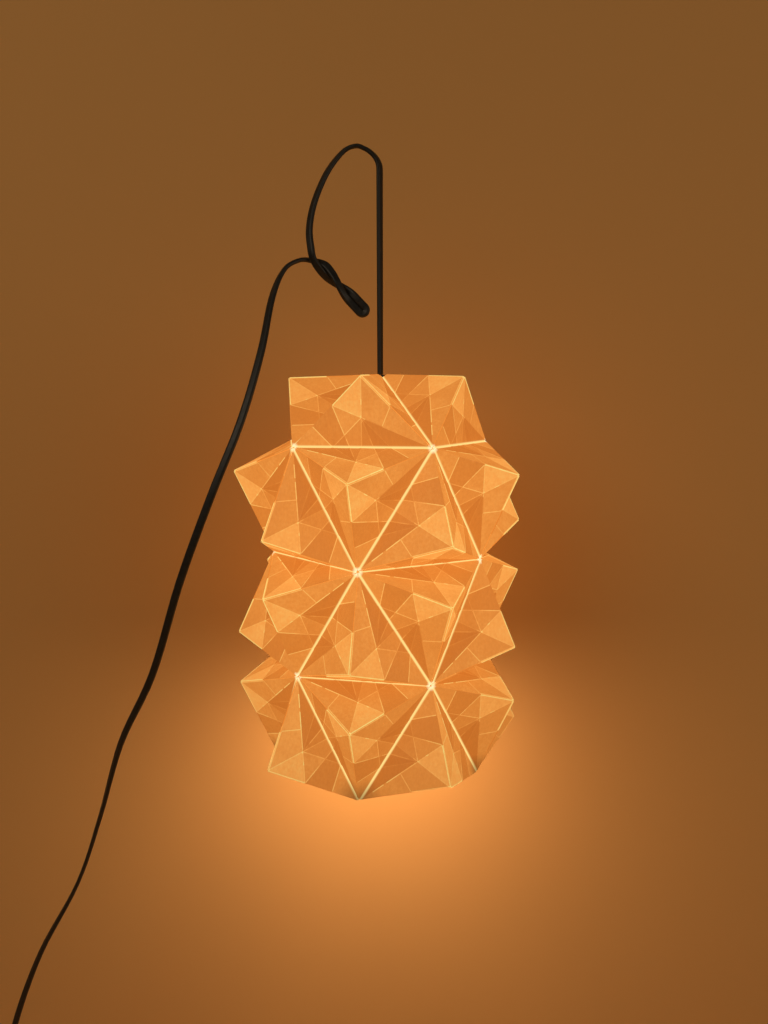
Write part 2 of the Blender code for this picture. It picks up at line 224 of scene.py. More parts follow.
class Material:
    """A Principled material, with short calls for the nodes that these materials share."""

    def __init__(self, name, colour, roughness, metallic=0.0):
        self.made = bpy.data.materials.new(name)
        self.made.use_nodes = True
        self.tree = self.made.node_tree
        self.shader = self.tree.nodes["Principled BSDF"]
        self.set("Base Color", (*colour, 1))
        self.set("Roughness", roughness)
        self.set("Metallic", metallic)
        self.coordinates = self.tree.nodes.new("ShaderNodeTexCoord").outputs["Object"]

    def set(self, socket, value):
        self.shader.inputs[socket].default_value = value

    def link(self, source, socket):
        self.tree.links.new(source, self.shader.inputs[socket] if isinstance(socket, str) else socket)

    def node(self, kind, inputs=(), **settings):
        """Adds a node. An input's value is either a constant or another node's output."""
        made = self.tree.nodes.new("ShaderNode" + kind)
        for name, value in settings.items():
            setattr(made, name, value)
        for socket, value in dict(inputs).items():
            if isinstance(value, bpy.types.NodeSocket):
                self.tree.links.new(value, made.inputs[socket])
            else:
                made.inputs[socket].default_value = value
        return made

    def noise(self, scale, detail=4.0, roughness=0.55, vector=None):
        inputs = {"Scale": scale, "Detail": detail, "Roughness": roughness}
        return self.node("TexNoise", {"Vector": vector or self.coordinates, **inputs}).outputs["Fac"]

    def stretched(self, x, y, z):
        """Coordinates scaled along each axis, for a grain that runs one way."""
        return self.node("Mapping", {"Vector": self.coordinates, "Scale": (x, y, z)}).outputs["Vector"]

    def mapped(self, value, low, high, start=0.3, end=0.7):
        inputs = {"Value": value, "From Min": start, "From Max": end, "To Min": low, "To Max": high}
        return self.node("MapRange", inputs).outputs["Result"]

    def math(self, operation, a, b=0.0):
        return self.node("Math", {0: a, 1: b}, operation=operation).outputs[0]

    def ramp(self, value, stops):
        made = self.node("ValToRGB", {"Fac": value})
        elements = made.color_ramp.elements
        while len(elements) < len(stops):
            elements.new(0.5)
        for element, (place, colour) in zip(elements, stops):
            element.position = place
            element.color = (*colour, 1)
        return made.outputs["Color"]

    def scaled(self, colour, factor):
        return self.node("VectorMath", {0: colour, 3: factor}, operation="SCALE").outputs[0]

    def bump(self, height, strength, distance):
        inputs = {"Height": height, "Strength": strength, "Distance": distance}
        self.link(self.node("Bump", inputs).outputs["Normal"], "Normal")


def stage_material():
    """Pale and matt, and clear from behind, so that the object shows from every side."""
    pale = Material("studio_pale", (0.80, 0.46, 0.165), 0.9)
    pale.set("Specular IOR Level", 0.1)
    clear = pale.node("BsdfTransparent").outputs[0]
    backfacing = pale.node("NewGeometry").outputs["Backfacing"]
    mix = pale.node("MixShader", {0: backfacing, 1: pale.shader.outputs[0], 2: clear})
    pale.tree.links.new(mix.outputs[0], pale.tree.nodes["Material Output"].inputs["Surface"])
    return pale.made


def light_through(layers):
    """The colour of the light that comes out through this many layers."""
    layers = min(layers, MUCH_PAPER + (layers - MUCH_PAPER) * MUCH_PAPER_COUNTS)
    return [base * kept ** (layers - 5) for base, kept in zip(LIGHT_THROUGH_FIVE, KEPT_BY_A_LAYER)]


def paper_material():
    """Translucent paper lit from inside, its light painted as an emission that stands in for the bulb's light
    through the paper. A face's painted glow goes with the layers that the mesh says lie there.
    """
    paper = Material("paper", (0.50, 0.36, 0.22), 0.55)
    layers = paper.node("Attribute", attribute_name="layers").outputs["Fac"]
    flat = paper.node("Attribute", attribute_name="flat").outputs["Vector"]
    flat = paper.node("SeparateXYZ", {0: flat}).outputs
    from_valley = paper.math("SUBTRACT", LEG, paper.math("ADD", flat["X"], flat["Y"]))
    from_valley = paper.math("MULTIPLY", paper.math("ABSOLUTE", from_valley), math.sqrt(0.5))
    from_middle = paper.math("ABSOLUTE", paper.math("SUBTRACT", flat["X"], flat["Y"]))
    from_end = paper.math("SUBTRACT", EDGE / 2, paper.math("MULTIPLY", from_middle, math.sqrt(0.5)))
    square = paper.math("POWER", from_valley, 2)
    from_node = paper.math("SQRT", paper.math("ADD", square, paper.math("MULTIPLY", from_end, from_end)))
    clouds = paper.noise(55, 5, 0.6)
    pulp = paper.noise(420, 3, 0.6)
    fibres = paper.noise(1.0, 4, 0.6, paper.stretched(900, 900, 160))
    strayed = paper.math("ADD", layers, paper.mapped(clouds, -0.55, 0.55))
    strayed = paper.math("ADD", strayed, paper.mapped(pulp, -0.45, 0.45))
    stops = []
    for count in (0, 1, 2, 3, 5, 7, 9, 11, MOST_LAYERS):
        stops.append((count / MOST_LAYERS, [min(1, c) for c in light_through(count)]))
    glow = paper.ramp(paper.math("DIVIDE", strayed, MOST_LAYERS), stops)
    # painted light: the glow is brighter nearer the bulb and dimmer farther from it
    from_bulb = paper.node("VectorMath", {0: paper.coordinates, 1: BULB_PLACE}, operation="DISTANCE")
    falloff = paper.mapped(from_bulb.outputs["Value"], 1.10, 0.78, 0.09, 0.27)
    speckle = paper.mapped(fibres, 0.955, 1.045)
    lit = paper.scaled(glow, paper.math("MULTIPLY", falloff, speckle))
    at_rim = flat["Z"]
    on_valley = paper.mapped(from_valley, 1, 0, VALLEY_LINE, VALLEY_BAND)
    at_node = paper.mapped(from_node, 1, 0, NODE_SPOT, NODE_BAND)
    at_node = paper.math("MULTIPLY", at_node, paper.math("SUBTRACT", 1, at_rim))
    for near, colour in ((on_valley, VALLEY_LIGHT), (at_node, NODE_LIGHT)):
        lit = paper.node("Mix", {0: near, 6: lit, 7: (*colour, 1)}, data_type="RGBA").outputs[2]
    shaded = paper.math("MULTIPLY", at_rim, paper.mapped(from_node, RIM_SHADE, 0, NODE_SPOT, RIM_BAND))
    lit = paper.scaled(lit, paper.math("SUBTRACT", 1, shaded))
    paper.link(lit, "Emission Color")
    paper.set("Emission Strength", GLOW)
    tint = paper.ramp(clouds, [(0.3, (0.16, 0.09, 0.04)), (0.7, (0.22, 0.13, 0.06))])
    paper.link(tint, "Base Color")
    paper.link(paper.mapped(pulp, 0.48, 0.62), "Roughness")
    paper.set("Specular IOR Level", 0.35)
    paper.bump(paper.math("ADD", fibres, paper.math("MULTIPLY", clouds, 1.5)), 0.35, 0.0004)
    return paper.made


def cord_material():
    rubber = Material("cord_rubber", (0.012, 0.013, 0.012), 0.42)
    scuffs = rubber.noise(260, 5, 0.65)
    grain = rubber.noise(2600, 2)
    tint = rubber.ramp(scuffs, [(0.35, (0.009, 0.010, 0.009)), (0.75, (0.022, 0.022, 0.020))])
    rubber.link(tint, "Base Color")
    rubber.link(rubber.mapped(scuffs, 0.36, 0.52), "Roughness")
    rubber.bump(grain, 0.15, 0.0001)
    return rubber.made


def moulded_material(name, roughness):
    """Black moulded plastic with a fine spark-eroded grain."""
    plastic = Material(name, (0.02, 0.02, 0.02), roughness)
    wear = plastic.noise(120, 5, 0.6)
    grain = plastic.noise(2200, 2)
    tint = plastic.ramp(wear, [(0.35, (0.014, 0.014, 0.014)), (0.75, (0.030, 0.029, 0.028))])
    plastic.link(tint, "Base Color")
    plastic.link(plastic.mapped(wear, roughness - 0.06, roughness + 0.10), "Roughness")
    plastic.bump(grain, 0.25, 0.00012)
    return plastic.made


def metal_material():
    metal = Material("plated_metal", (0.74, 0.72, 0.67), 0.28, 1.0)
    drawn = metal.noise(1.0, 4, 0.6, metal.stretched(2500, 2500, 120))
    stain = metal.noise(180, 4)
    metal.link(metal.ramp(stain, [(0.35, (0.62, 0.58, 0.50)), (0.65, (0.78, 0.76, 0.72))]), "Base Color")
    metal.link(metal.mapped(drawn, 0.20, 0.38), "Roughness")
    metal.bump(drawn, 0.15, 0.00008)
    return metal.made


def opal_material():
    """Lit opal glass, a little dimmer at its neck."""
    opal = Material("opal_glass", (0.92, 0.86, 0.76), 0.12)
    height = opal.node("SeparateXYZ", {0: opal.coordinates}).outputs["Z"]
    neck_z, globe_z = TOP_NODE_Z - 0.075, TOP_NODE_Z - 0.105
    level = opal.mapped(height, 0, 1, neck_z, globe_z)
    mottle = opal.mapped(opal.noise(300, 3), 0.96, 1.04)
    colour = opal.ramp(level, [(0.0, (0.60, 0.30, 0.10)), (1.0, (1.0, 0.66, 0.32))])
    opal.link(opal.scaled(colour, mottle), "Emission Color")
    opal.set("Emission Strength", 24.0)
    opal.set("Coat Weight", 0.3)
    return opal.made


def tie_material():
    velour = Material("tie_fabric", (0.02, 0.02, 0.02), 0.9)
    loops = velour.noise(1800, 3)
    tint = velour.ramp(loops, [(0.3, (0.008, 0.008, 0.008)), (0.7, (0.045, 0.045, 0.045))])
    velour.link(tint, "Base Color")
    velour.bump(loops, 0.7, 0.0006)
    return velour.made


# ---------------------------------------------------------------- mesh tools


def loft_mesh(name, rings, closed=True, caps=True):
    """A skin over rings that have the same number of points, each ring closed or open."""
    mesh = bmesh.new()
    rows = [[mesh.verts.new(point) for point in ring] for ring in rings]
    count = len(rings[0])
    for lower, upper in zip(rows, rows[1:]):
        for i in range(count if closed else count - 1):
            j = (i + 1) % count
            mesh.faces.new((lower[i], lower[j], upper[j], upper[i]))
    if caps:
        mesh.faces.new(rows[0][::-1])
        mesh.faces.new(rows[-1])
        bmesh.ops.recalc_face_normals(mesh, faces=mesh.faces)
    made = bpy.data.meshes.new(name)
    mesh.to_mesh(made)
    mesh.free()
    return made


def piece(name, mesh, body, stuff, nodes=(), sharp=35):
    """A finished piece: its mesh smooth up to an angle, its body, and the CAD nodes it replaces."""
    mesh.shade_smooth()
    mesh.set_sharp_from_angle(angle=math.radians(sharp))
    mesh.materials.append(stuff)
    made = bpy.data.objects.new(name, mesh)
    bpy.context.scene.collection.objects.link(made)
    if body:
        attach(made, body)
    if nodes:
        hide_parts(*nodes)
    return made


def turned(name, profile, place, steps=96, shape=None):
    """A closed skin about Z over a profile of (radius, height). shape() may change a radius."""
    rings = []
    for radius, height in profile:
        ring = []
        for i in range(steps):
            angle = 2 * math.pi * i / steps
            r = shape(radius, height, angle) if shape else radius
            ring.append(Vector(place) + Vector((r * math.cos(angle), r * math.sin(angle), height)))
        rings.append(ring)
    return loft_mesh(name, rings)


def rounded(points, rounding, steps=4):
    """The profile with an arc in place of each inner corner."""
    points = [Vector(p) for p in points]
    found = [points[0]]
    for before, corner, after in zip(points, points[1:], points[2:]):
        reach = min(rounding, (before - corner).length / 2.2, (after - corner).length / 2.2)
        start = corner + (before - corner).normalized() * reach
        end = corner + (after - corner).normalized() * reach
        for step in range(steps + 1):
            t = step / steps
            found.append(start * (1 - t) ** 2 + corner * 2 * t * (1 - t) + end * t**2)
    return [tuple(p) for p in found + [points[-1]]]


def smooth_route(points, samples):
    """Points along the Catmull-Rom curve through the route's own points, of any dimension."""
    route = [Vector(p) for p in points]
    ends = [2 * route[0] - route[1]] + route + [2 * route[-1] - route[-2]]
    found = []
    for a, b, c, d in zip(ends, ends[1:], ends[2:], ends[3:]):
        for step in range(samples):
            t = step / samples
            bend = (2 * a - 5 * b + 4 * c - d) * t**2 + (3 * b - a - 3 * c + d) * t**3
            found.append((2 * b + (c - a) * t + bend) / 2)
    return found + [route[-1]]


# ---------------------------------------------------------------- cord


def coil_points():
    """Turns that wind inwards in the front column and outwards in the back one, clockwise from the front."""
    per_turn = 36
    half = COIL_TURNS // 2
    found = []
    for step in range(COIL_TURNS * per_turn + 1):
        turns = step / per_turn
        inwards = min(turns, COIL_TURNS - turns)
        radius = COIL_RADIUS + COIL_PITCH * (half / 2 - inwards)
        across = min(1, max(0, (turns - half + 0.25) / 0.5))
        side = COIL_SIDE * (2 * (3 * across**2 - 2 * across**3) - 1)
        angle = -2 * math.pi * turns
        found.append((COIL_X + radius * math.cos(angle), side, COIL_Z + radius * math.sin(angle), 90))
    return found


def bight():
    """Two twisted strands: down the one, round the turn and up the other."""
    along = Vector((math.cos(BIGHT_SLOPE), 0, -math.sin(BIGHT_SLOPE)))
    across = Vector((math.sin(BIGHT_SLOPE), 0, math.cos(BIGHT_SLOPE)))
    steps = 10

    def strand(step, side):
        from_end = BIGHT_LENGTH * (step / steps) ** 1.5
        turn = math.pi * max(0, from_end - BIGHT_STRAIGHT) / HALF_TWIST
        offset = across * STRAND_OFFSET * math.cos(turn) + Vector((0, STRAND_DEPTH, 0)) * math.sin(turn)
        return (*(BIGHT_END - along * from_end + offset * side), 12 + 26 * abs(math.sin(turn)))

    quarters = (math.pi / 4, math.pi / 2, math.pi * 3 / 4)
    turned_back = [across * math.cos(a) + along * math.sin(a) for a in quarters]
    down = [strand(step, 1) for step in range(steps, -1, -1)]
    up = [strand(step, -1) for step in range(steps)]
    return down + [(*(BIGHT_END + STRAND_OFFSET * offset), 16) for offset in turned_back] + up


def cord_points():
    """The whole centreline with the lean of the cord's wide side at each point."""
    drop = []
    steps = 16
    for step in range(steps):
        z = CORD_START.z + (SWING_Z + 0.0004 - CORD_START.z) * step / steps
        drop.append((LAMP_X, 0, z, 60 - 10 * step / steps))
    coil = coil_points()
    lead_in = (coil[0][0] - 0.0004, coil[0][1], COIL_Z + 0.0130, 90)
    lead_out = [
        (coil[-1][0] - 0.0006, PLUG_Y, COIL_Z - 0.0145, 90),
        (PLUG_X, PLUG_Y, PLUG_TOP_Z + 0.0002, 90),
    ]
    route = smooth_route(drop[-2:] + HOOK_LOOP + bight() + TAIL + [lead_in] + coil[:2], 6)[6:-6]
    tail = smooth_route(coil[-2:] + lead_out, 4)[4:]
    return [Vector(p) for p in drop[:-1]] + route + [Vector(p) for p in coil[1:-1]] + tail


def cord_section(steps=20):
    """The flat twin cord's outline: wide, thickness, with a shallow groove between the two cores."""
    found = []
    for i in range(steps):
        angle = 2 * math.pi * i / steps
        c, s = math.cos(angle), math.sin(angle)
        wide = CORD_WIDTH / 2 * math.copysign(abs(c) ** 0.85, c)
        groove = 1 - 0.16 * math.exp(-((c / 0.22) ** 2))
        found.append((wide, CORD_THICKNESS / 2 * math.copysign(abs(s) ** 0.75, s) * groove))
    return found


def cord(rubber):
    points = cord_points()
    centre = [Vector(p[:3]) for p in points]
    section = cord_section()
    rings = []
    side = Vector((1, 0, 0))
    for i, point in enumerate(centre):
        along = (centre[min(i + 1, len(centre) - 1)] - centre[max(i - 1, 0)]).normalized()
        level = Vector((0, 1, 0)).cross(along)
        if level.length > 0.05:
            side = level.normalized()
        depth = along.cross(side).normalized()
        lean = math.radians(points[i][3])
        wide = side * math.cos(lean) + depth * math.sin(lean)
        thin = along.cross(wide).normalized()
        rings.append([point + wide * u + thin * v for u, v in section])
    nodes = ("cord", "cord_drop", "cord_coil")
    made = piece("flat_cord", loft_mesh("flat_cord", rings), None, rubber, nodes)
    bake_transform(made)
    length = sum((b - a).length for a, b in zip(centre, centre[1:]))
    return made, centre, length


def coil_tie(fabric):
    """A hook-and-loop band round the turns at the coil's left side."""
    half_deep, half_wide, round_off, half_length = 0.0108, 0.0078, 0.0035, 0.006
    outline = []
    for corner in range(4):
        turn = math.pi / 2 * corner
        sign_x = 1 if corner in (0, 3) else -1
        sign_y = 1 if corner in (0, 1) else -1
        for step in range(7):
            angle = turn + math.pi / 2 * step / 6
            x = sign_x * (half_deep - round_off) + round_off * math.cos(angle)
            y = sign_y * (half_wide - round_off) + round_off * math.sin(angle)
            outline.append((x, y))
    rings = []
    for height, grow in ((-half_length, 0), (half_length, 0), (half_length, 0.0012), (-half_length, 0.0012)):
        ring = []
        for x, y in outline:
            scale = 1 + grow / math.hypot(x, y)
            ring.append(Vector((COIL_X - COIL_RADIUS + x * scale, y * scale, COIL_Z + height)))
        rings.append(ring)
    rings.append(rings[0])
    mesh = loft_mesh("coil_tie", rings, caps=False)
    joined = bmesh.new()
    joined.from_mesh(mesh)
    bmesh.ops.remove_doubles(joined, verts=joined.verts, dist=1e-6)
    bmesh.ops.recalc_face_normals(joined, faces=joined.faces)
    joined.to_mesh(mesh)
    joined.free()
    return piece("coil_tie", mesh, "cord", fabric)


# ---------------------------------------------------------------- shade


def node_place(ring, index):
    if ring == 0:
        return Vector((LAMP_X, 0, TOP_NODE_Z))
    azimuth = TURN + 2 * math.pi / SIDES * (index + (ring + 1) % 2 / 2)
    height = FIRST_RING_Z - RING_DROP * (ring - 1)
    return Vector((LAMP_X + RING_RADIUS * math.sin(azimuth), -RING_RADIUS * math.cos(azimuth), height))


def node_key(ring, index):
    return (ring, index % SIDES if ring else 0)


def cells():
    """The lattice's triangles, each with its nodes clockwise as seen from outside."""
    for k in range(SIDES):
        yield (node_key(0, 0), node_key(1, k + 1), node_key(1, k))
    for ring in range(1, RINGS):
        ahead = 0 if ring % 2 else 1
        for k in range(SIDES):
            right = node_key(ring + 1, k + ahead)
            yield (node_key(ring, k), node_key(ring, k + 1), right)
            yield (node_key(ring, k), right, node_key(ring + 1, k + ahead - 1))


def apex_of(cell):
    a, b, c = (node_place(*key) for key in cell)
    return (a + b + c) / 3 + APEX_HEIGHT * (c - a).cross(b - a).normalized()


def clipped(shape, normal, level, keep_over):
    """The part of a convex outline on one side of a line."""
    sign = 1 if keep_over else -1
    found = []
    for p, q in zip(shape, shape[1:] + shape[:1]):
        over_p, over_q = sign * (p.dot(normal) - level), sign * (q.dot(normal) - level)
        if over_p >= -1e-9:
            found.append(p)
        if (over_p > 1e-9 and over_q < -1e-9) or (over_p < -1e-9 and over_q > 1e-9):
            found.append(p + (q - p) * over_p / (over_p - over_q))
    return found


def folded(layers, point, direction, side):
    """Every layer folded over the line through point: what lies on that side of it is mirrored."""
    along = Vector(direction).normalized()
    normal = Vector((-along.y, along.x)) * side
    level = Vector(point).dot(normal)
    found = []
    for shape in layers:
        stays = clipped(shape, normal, level, False)
        moves = [p - 2 * (p.dot(normal) - level) * normal for p in clipped(shape, normal, level, True)]
        found += [part for part in (stays, moves) if len(part) > 2 and outline_area(part) > 1e-9]
    return found


def outline_area(shape):
    return abs(sum(p.x * q.y - p.y * q.x for p, q in zip(shape, shape[1:] + shape[:1]))) / 2


@functools.cache
def packet():
    """The layers of a folded unit, as outlines in the unit's own flat coordinates.

    The sheet is folded on a grid where its side is 8. The corners go in twice, then the sides, then the ends.
    In the outlines returned, (0, 0) is the first panel's apex, (1, 0) its near node and (0, 1) its far node.
    """
    layers = [[Vector(corner) for corner in ((-4, -4), (4, -4), (4, 4), (-4, 4))]]
    for _ in range(2):
        layers = folded(layers, (-4, 2), (1, 1), 1)
        layers = folded(layers, (-4, 2), (1, math.tan(math.pi / 8)), 1)
        layers = [[-p for p in shape] for shape in layers]
    layers = folded(layers, (0, 2), (1, 0), 1)
    layers = folded(layers, (0, -2), (1, 0), -1)
    layers = folded(layers, (-4, -2), (1, 1), 1)
    layers = folded(layers, (4, 2), (1, 1), -1)
    return [[Vector(((p.x + 2 - p.y) / 4, (p.x + 2 + p.y) / 4)) for p in shape] for shape in layers]


@functools.cache
def tab_layers():
    """The layers of the next unit's tab, where they lie under the first panel: the unit turned a quarter."""
    return [[Vector((-p.y, p.x)) for p in shape] for shape in packet()]


def layers_at(shapes, a, b):
    """How many of the outlines hold the point."""
    count = 0
    for shape in shapes:
        pairs = zip(shape, shape[1:] + shape[:1])
        sides = [(q.x - p.x) * (b - p.y) - (q.y - p.y) * (a - p.x) for p, q in pairs]
        if all(s > 0 for s in sides) or all(s < 0 for s in sides):
            count += 1
    return count


def fold_lines(shapes):
    """The lines that the outlines' sides lie on, each as a point and a normal."""
    found = {}
    for shape in shapes:
        for p, q in zip(shape, shape[1:] + shape[:1]):
            along = (q - p).normalized()
            normal = Vector((-along.y, along.x))
            if normal.x < -1e-6 or (abs(normal.x) < 1e-6 and normal.y < 0):
                normal.negate()
            found[(round(normal.x, 4), round(normal.y, 4), round(p.dot(normal), 4))] = (p, normal)
    return list(found.values())


def unit_outlines(near_cut, far_cut):
    """The flat unit's four faces, in metres: a panel, its tab, and both turned about the valley's middle."""

    def half(near, far):
        near_tip, far_tip = TIP_CUT + near - NODE_CUT, TIP_CUT + far - NODE_CUT
        near, far = near / math.sqrt(2), far / math.sqrt(2)
        panel = [
            (0, STEP_IN),
            (2 * STEP_IN, STEP_IN),
            (LEG - near_tip, STEP_IN),
            (LEG - near, near),
            (far, LEG - far),
            (0, LEG - far_tip),
        ]
        tab = [panel[1], panel[2], (2 * STEP_IN, STEP_IN - (LEG - near_tip - 2 * STEP_IN))]
        return panel, tab

    panel, tab = half(near_cut, far_cut)
    others = half(far_cut, near_cut)
    return [panel, tab] + [[(LEG - a, LEG - b) for a, b in outline] for outline in others]


def split(mesh, faces, lines, offset):
    """Cuts the faces along both sides of each line."""
    for point, normal in lines:
        for side in (-offset, offset):
            geometry = set(faces)
            for face in faces:
                geometry.update(face.edges)
                geometry.update(face.verts)
            place = Vector((*(point * LEG + normal * side), 0))
            cut = bmesh.ops.bisect_plane(
                mesh, geom=list(geometry), dist=1e-6, plane_co=place, plane_no=(*normal, 0)
            )
            faces = list({item for item in cut["geom"] if isinstance(item, bmesh.types.BMFace)})
    return faces


def turned_about(lines):
    """The same lines for the unit's other half."""
    middle = Vector((1, 1))
    return [(middle - point, -normal) for point, normal in lines]


@functools.cache
def flat_unit(near_cut, far_cut, under_first, under_second):
    """The unit before it goes on the lattice: its points, its faces, and the layers at each of both, with
    painted highlights taken off and painted shade added as layers.
    """
    mesh = bmesh.new()
    parts = []
    for outline in unit_outlines(near_cut, far_cut):
        parts.append(mesh.faces.new([mesh.verts.new((a, b, 0)) for a, b in outline]))
    bmesh.ops.remove_doubles(mesh, verts=mesh.verts, dist=0.00002)
    own = [line for line in fold_lines(packet() + [CAP_OUTLINE]) if crosses(line)]
    under = [line for line in fold_lines(tab_layers()) if crosses(line)]
    groups = [[face] for face in mesh.faces]
    first_lines = own + (under if under_first else [])
    second_lines = turned_about(own + (under if under_second else []))
    halves = ((0, first_lines), (2, second_lines))
    far_ridge = (Vector((RIDGE_LINE / LEG, 0)), Vector((1, 0)))
    near_ridge = (Vector((0, (STEP_IN + RIDGE_LINE) / LEG)), Vector((0, 1)))
    ridges = [far_ridge, near_ridge]
    for first, lines in halves:
        groups[first] = split(mesh, groups[first], lines, CREASE)
        groups[first] = split(mesh, groups[first], turned_about(ridges) if first else ridges, 0)
    spread = round(LEG / WAVE_GRID)
    for k in range(1, spread):
        for normal in (Vector((1, 0)), Vector((0, 1))):
            for first in (0, 2):
                groups[first] = split(mesh, groups[first], [(normal * k / spread, normal)], 0)
    bmesh.ops.remove_doubles(mesh, verts=mesh.verts, dist=0.00004)
    mesh.verts.index_update()
    mesh.faces.index_update()
    counts = []
    for face in mesh.faces:
        middle = face.calc_center_median()
        count = layers_over(middle.x, middle.y, under_first, under_second)
        # the painted highlight along a fold's edge is taken off the layer count
        counts.append(count - edge_light(middle, own, under))
    points = []
    for vert in mesh.verts:
        around = [counts[face.index] for face in vert.link_faces]
        points.append((vert.co.x, vert.co.y, sum(around) / len(around)))
    faces = [[vert.index for vert in face.verts] for face in mesh.faces]
    mesh.free()
    return points, faces, counts


def crosses(line):
    """Whether the line passes through the inside of the first panel, clear of its sides."""
    point, normal = line
    sides = [(Vector(corner) - point).dot(normal) for corner in ((0, 0), (1, 0), (0, 1))]
    return min(sides) < -0.01 and max(sides) > 0.01


def edge_light(middle, own, under):
    """The painted highlight on the thin strip along a fold's edge: how much lighter it is than its
    surroundings, in layers.
    """
    place = Vector((middle.x, middle.y))
    if place.x + place.y > LEG:
        place = Vector((LEG, LEG)) - place
    if place.y < STEP_IN:
        return 0
    if min(place.x, place.y - STEP_IN) < RIDGE_LINE:
        return RIDGE_LIGHT if max(place) < CAP * LEG else 0
    for start, end in zip(CAP_OUTLINE, CAP_OUTLINE[1:]):
        along = (end - start) * LEG
        reach = (place - start * LEG).dot(along) / along.length_squared
        off_line = (place - start * LEG - along * reach).length
        if -0.02 < reach < 1.02 and off_line < CREASE * 0.9:
            return CAP_LIGHT
    for lines, shapes in ((own, packet()), (under, tab_layers())):
        for point, normal in lines:
            if abs((place - point * LEG).dot(normal)) < CREASE * 0.9:
                sides = [(place + normal * CREASE * reach) / LEG for reach in (-3, 3)]
                before, after = (layers_at(shapes, *side) for side in sides)
                if before != after:
                    return LIT_EDGE + abs(before - after) / 2
    return 0


def layers_over(a, b, under_first, under_second):
    """Layers at a point of the flat unit, with the tab that lies under its panel, or painted shade counted as
    layers where no tab lies under it.
    """
    if a + b > LEG:
        a, b = LEG - a, LEG - b
        under_first = under_second
    if b < STEP_IN and a > CAP * LEG:
        b = 2 * STEP_IN
    count = layers_at(packet(), a / LEG, b / LEG)
    if b < STEP_IN:
        return max(count, 3)
    return count + (layers_at(tab_layers(), a / LEG, b / LEG) if under_first else LOOSE_PANEL_PAINTED_SHADE)


def paper_unit(name, halves, has_tab_under, paper, seed):
    """One folded unit on its lattice edge. halves are the two (cell, side) that it serves."""
    draw = random.Random(seed)
    tone = draw.uniform(-0.35, 0.35)
    shift = Vector((draw.uniform(0, 50), draw.uniform(0, 50), draw.uniform(0, 50)))
    frames = []
    for cell, side in halves:
        apex = apex_of(cell)
        along = [(node_place(*key) - apex).normalized() for key in cell]
        frames.append((apex, *(along[(side + i) % 3] for i in range(3))))
    cell, side = halves[0]
    cuts = [TOP_CUT if cell[(side + i) % 3][0] == 0 else NODE_CUT for i in range(2)]
    points, faces, counts = flat_unit(*cuts, *has_tab_under)

    def placed(a, b, count):
        (apex, first, second, third), u, v = frames[0], a, b
        if a + b > LEG:
            (apex, first, second, third), u, v = frames[1], LEG - a, LEG - b
        if v < STEP_IN:
            return apex + u * first + STEP_IN * second + (STEP_IN - v) * third
        inside = min(1, (v - STEP_IN) / STIFF_EDGE, u / STIFF_EDGE, (LEG - u - v) / STIFF_EDGE)
        flat = apex + u * first + v * second
        if inside <= 0.02:
            return flat
        lift = RELIEF * max(0, count - 3) + WAVE * inside * noise.noise(flat * WAVES + shift)
        return flat - third * min(1, inside * 8) * lift

    mesh = bpy.data.meshes.new(name)
    mesh.from_pydata([placed(*point) for point in points], [], faces)
    # the layers attribute holds the layer counts with the painted highlights and painted shade folded in
    layers = mesh.attributes.new("layers", "FLOAT", "FACE")
    layers.data.foreach_set("value", [count + tone for count in counts])
    flat = mesh.attributes.new("flat", "FLOAT_VECTOR", "POINT")
    at_rim = [cell[(side + i) % 3][0] == RINGS for i in range(2)]
    places = [(a, b, at_rim[0 if a > b else 1]) for a, b, _ in points]
    flat.data.foreach_set("vector", [value for place in places for value in place])
    faced = bmesh.new()
    faced.from_mesh(mesh)
    bmesh.ops.recalc_face_normals(faced, faces=faced.faces)
    inside = Vector((LAMP_X, 0, -0.4))
    if sum(face.normal.dot(face.calc_center_median() - inside) for face in faced.faces) < 0:
        bmesh.ops.reverse_faces(faced, faces=faced.faces)
    faced.to_mesh(mesh)
    faced.free()
    return thickened(name, mesh, paper)


def thickened(name, mesh, paper):
    holder = bpy.data.objects.new(name + "_sheet", mesh)
    bpy.context.scene.collection.objects.link(holder)
    shell = holder.modifiers.new("thickness", "SOLIDIFY")
    shell.thickness = SHEET
    shell.offset = -1
    graph = bpy.context.evaluated_depsgraph_get()
    solid = bpy.data.meshes.new_from_object(holder.evaluated_get(graph))
    bpy.data.objects.remove(holder)
    solid.name = name
    return piece(name + "_paper", solid, "shade", paper, (name,), sharp=18)


def shade(paper):
    """One unit on each lattice edge that two cells share, named as in the CAD."""
    sides_by_edge = {}
    for cell in cells():
        for side in range(3):
            edge = frozenset((cell[side], cell[(side + 1) % 3]))
            sides_by_edge.setdefault(edge, []).append((cell, side))
    shared = {edge: halves for edge, halves in sides_by_edge.items() if len(halves) == 2}
    counts = {}
    for edge, halves in shared.items():
        upper, lower = sorted(key[0] for key in edge)
        band = "crown" if upper == 0 else f"ring_{upper}" if upper == lower else f"zigzag_{upper}"
        counts[band] = counts.get(band, 0) + 1
        under = []
        for cell, side in halves:
            after = frozenset((cell[(side + 1) % 3], cell[(side + 2) % 3]))
            under.append(after in shared)
        seed = len(counts) * 100 + counts[band]
        paper_unit(f"unit_{band}_{counts[band]:02d}", halves, tuple(under), paper, seed)


# ---------------------------------------------------------------- lampholder, bulb and plug


